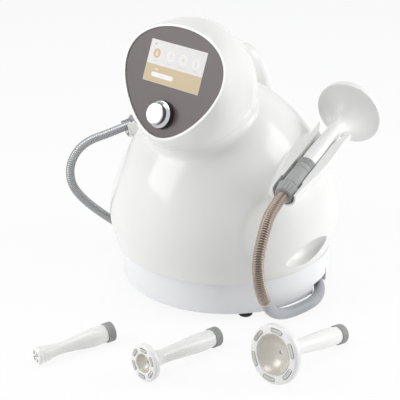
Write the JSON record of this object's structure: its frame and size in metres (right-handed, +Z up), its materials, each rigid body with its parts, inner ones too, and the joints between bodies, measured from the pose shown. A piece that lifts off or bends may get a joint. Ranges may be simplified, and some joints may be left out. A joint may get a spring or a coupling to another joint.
{
  "type": "vacuum slimming machine",
  "caption": "Ball-shaped desk-top vacuum slimming machine: tilted head with touch screen and knob, applicators docked in side cradles on hoses, and loose applicators.",
  "frame": {"origin": "on the table, under the centre of the round base", "axes": "+Z up, -Y towards the user in front of the body, +X to the right-hand cradle as the user sees it"},
  "size_m": [0.555, 0.5951, 0.4409],
  "materials": {
    "base_white": "gloss",
    "black_plastic": "satin",
    "black_rubber": "matte",
    "board_green": "solder mask",
    "brass_post": "turned",
    "clear_jar": "clear moulding",
    "copper_coil": "enamelled wire",
    "grey_plastic": "satin",
    "hose_cover": "satin grey and steel",
    "inner_white": "moulded",
    "lead_red": "insulated lead",
    "module_metal": "brushed",
    "pad_steel": "polished",
    "pearl_liner": "translucent pearl",
    "plate_steel": "zinc plated",
    "polished_knob": "polished",
    "port_brass": "turned",
    "pump_alloy": "cast",
    "pump_can": "satin",
    "screen_glass": "gloss",
    "steel_screw": "bright zinc",
    "taupe_panel": "satin",
    "tube_clear": "silicone tube",
    "white_gloss": "gloss"
  },
  "bodies": {
    "machine": {"base_tray": "base_white", "board_standoffs": "brass_post", "body_shell": "white_gloss", "chassis_plate": "plate_steel", "circuit_boards": "board_green", "display_module": "module_metal", "display_screen": "screen_glass", "encoder_body": "module_metal", "face_panel": "taupe_panel", "fan_frame": "black_plastic", "fan_grille": "steel_screw", "filter_jar": "clear_jar", "filter_lid": "inner_white", "fuse_holder": "black_plastic", "hose_left": "hose_cover", "hose_ports": "port_brass", "hose_right": "hose_cover", "inlet_pins": "port_brass", "knob_collar": "black_plastic", "power_inlet": "black_plastic", "power_supply": "plate_steel", "pump_head": "pump_alloy", "pump_motor": "pump_can", "pump_mounts": "black_rubber", "rear_panel": "plate_steel", "rubber_feet": "black_rubber", "screws": "steel_screw", "suction_tubes": "tube_clear", "switch_case": "black_plastic", "transformer": "copper_coil", "valve_block": "pump_alloy", "wiring": "lead_red"},
    "docked_right": {"docked_right_shell": "white_gloss", "docked_right_pads": "pad_steel", "docked_right_ring": "grey_plastic", "docked_right_liner": "pearl_liner", "coupling_right": "grey_plastic"},
    "docked_left": {"docked_left_shell": "white_gloss", "docked_left_pads": "pad_steel", "docked_left_ring": "grey_plastic", "docked_left_liner": "pearl_liner", "coupling_left": "grey_plastic"},
    "nut_right": {"coupling_nut_right": "grey_plastic"},
    "nut_left": {"coupling_nut_left": "grey_plastic"},
    "small": {"small_shell": "white_gloss", "small_pads": "pad_steel", "small_ring": "grey_plastic"},
    "medium": {"medium_shell": "white_gloss", "medium_pads": "pad_steel", "medium_ring": "grey_plastic", "medium_liner": "pearl_liner"},
    "large": {"large_shell": "white_gloss", "large_pads": "pad_steel", "large_ring": "grey_plastic", "large_liner": "pearl_liner"},
    "knob_turn": {"encoder_rotor": "steel_screw"},
    "knob_push": {"knob_cap": "polished_knob"},
    "rocker": {"switch_rocker": "black_plastic"},
    "fan": {"fan_rotor": "black_plastic"},
    "crank": {"pump_crank": "steel_screw"}
  },
  "joints": [
    {"name": "knob_rotate", "type": "hinge", "parent": "machine", "child": "knob_turn", "pos_m": [0.01614, -0.14387, 0.31011], "axis": [0.1036, -0.9237, 0.3689], "continuous": true},
    {"name": "knob_press", "type": "slide", "parent": "knob_turn", "child": "knob_push", "axis": [-0.1036, 0.9237, -0.3689], "range_m": [0, 0.0012], "stiffness_N_per_m": 1500, "springref_m": -0.001},
    {"name": "power_rocker", "type": "hinge", "parent": "machine", "child": "rocker", "pos_m": [0.045, 0.14, 0.133], "axis": [0, 0, 1], "range_deg": [0, 16]},
    {"name": "fan_spin", "type": "hinge", "parent": "machine", "child": "fan", "pos_m": [0, 0.134, 0.1285], "axis": [0, 1, 0], "continuous": true},
    {"name": "crank_spin", "type": "hinge", "parent": "machine", "child": "crank", "pos_m": [-0.01, 0.07, 0.069], "axis": [1, 0, 0], "continuous": true},
    {"name": "lift_docked_right", "type": "slide", "parent": "machine", "child": "docked_right", "axis": [0.0772, -0.2435, 0.9668], "range_m": [0, 0.07]},
    {"name": "lift_docked_left", "type": "slide", "parent": "machine", "child": "docked_left", "axis": [-0.0772, -0.2435, 0.9668], "range_m": [0, 0.07]},
    {"name": "unscrew_nut_right", "type": "hinge", "parent": "docked_right", "child": "nut_right", "pos_m": [0.18206, -0.05095, 0.21478], "axis": [-0.2923, 0.9216, 0.2554], "range_deg": [0, 60]},
    {"name": "unscrew_nut_left", "type": "hinge", "parent": "docked_left", "child": "nut_left", "pos_m": [-0.17796, -0.03805, 0.21836], "axis": [0.2923, 0.9216, 0.2554], "range_deg": [0, 60]},
    {"name": "lift_small", "type": "slide", "parent": "machine", "child": "small", "axis": [0, 0, 1], "range_m": [0, 0.08]},
    {"name": "lift_medium", "type": "slide", "parent": "machine", "child": "medium", "axis": [0, 0, 1], "range_m": [0, 0.08]},
    {"name": "lift_large", "type": "slide", "parent": "machine", "child": "large", "axis": [0, 0, 1], "range_m": [0, 0.08]}
  ]
}
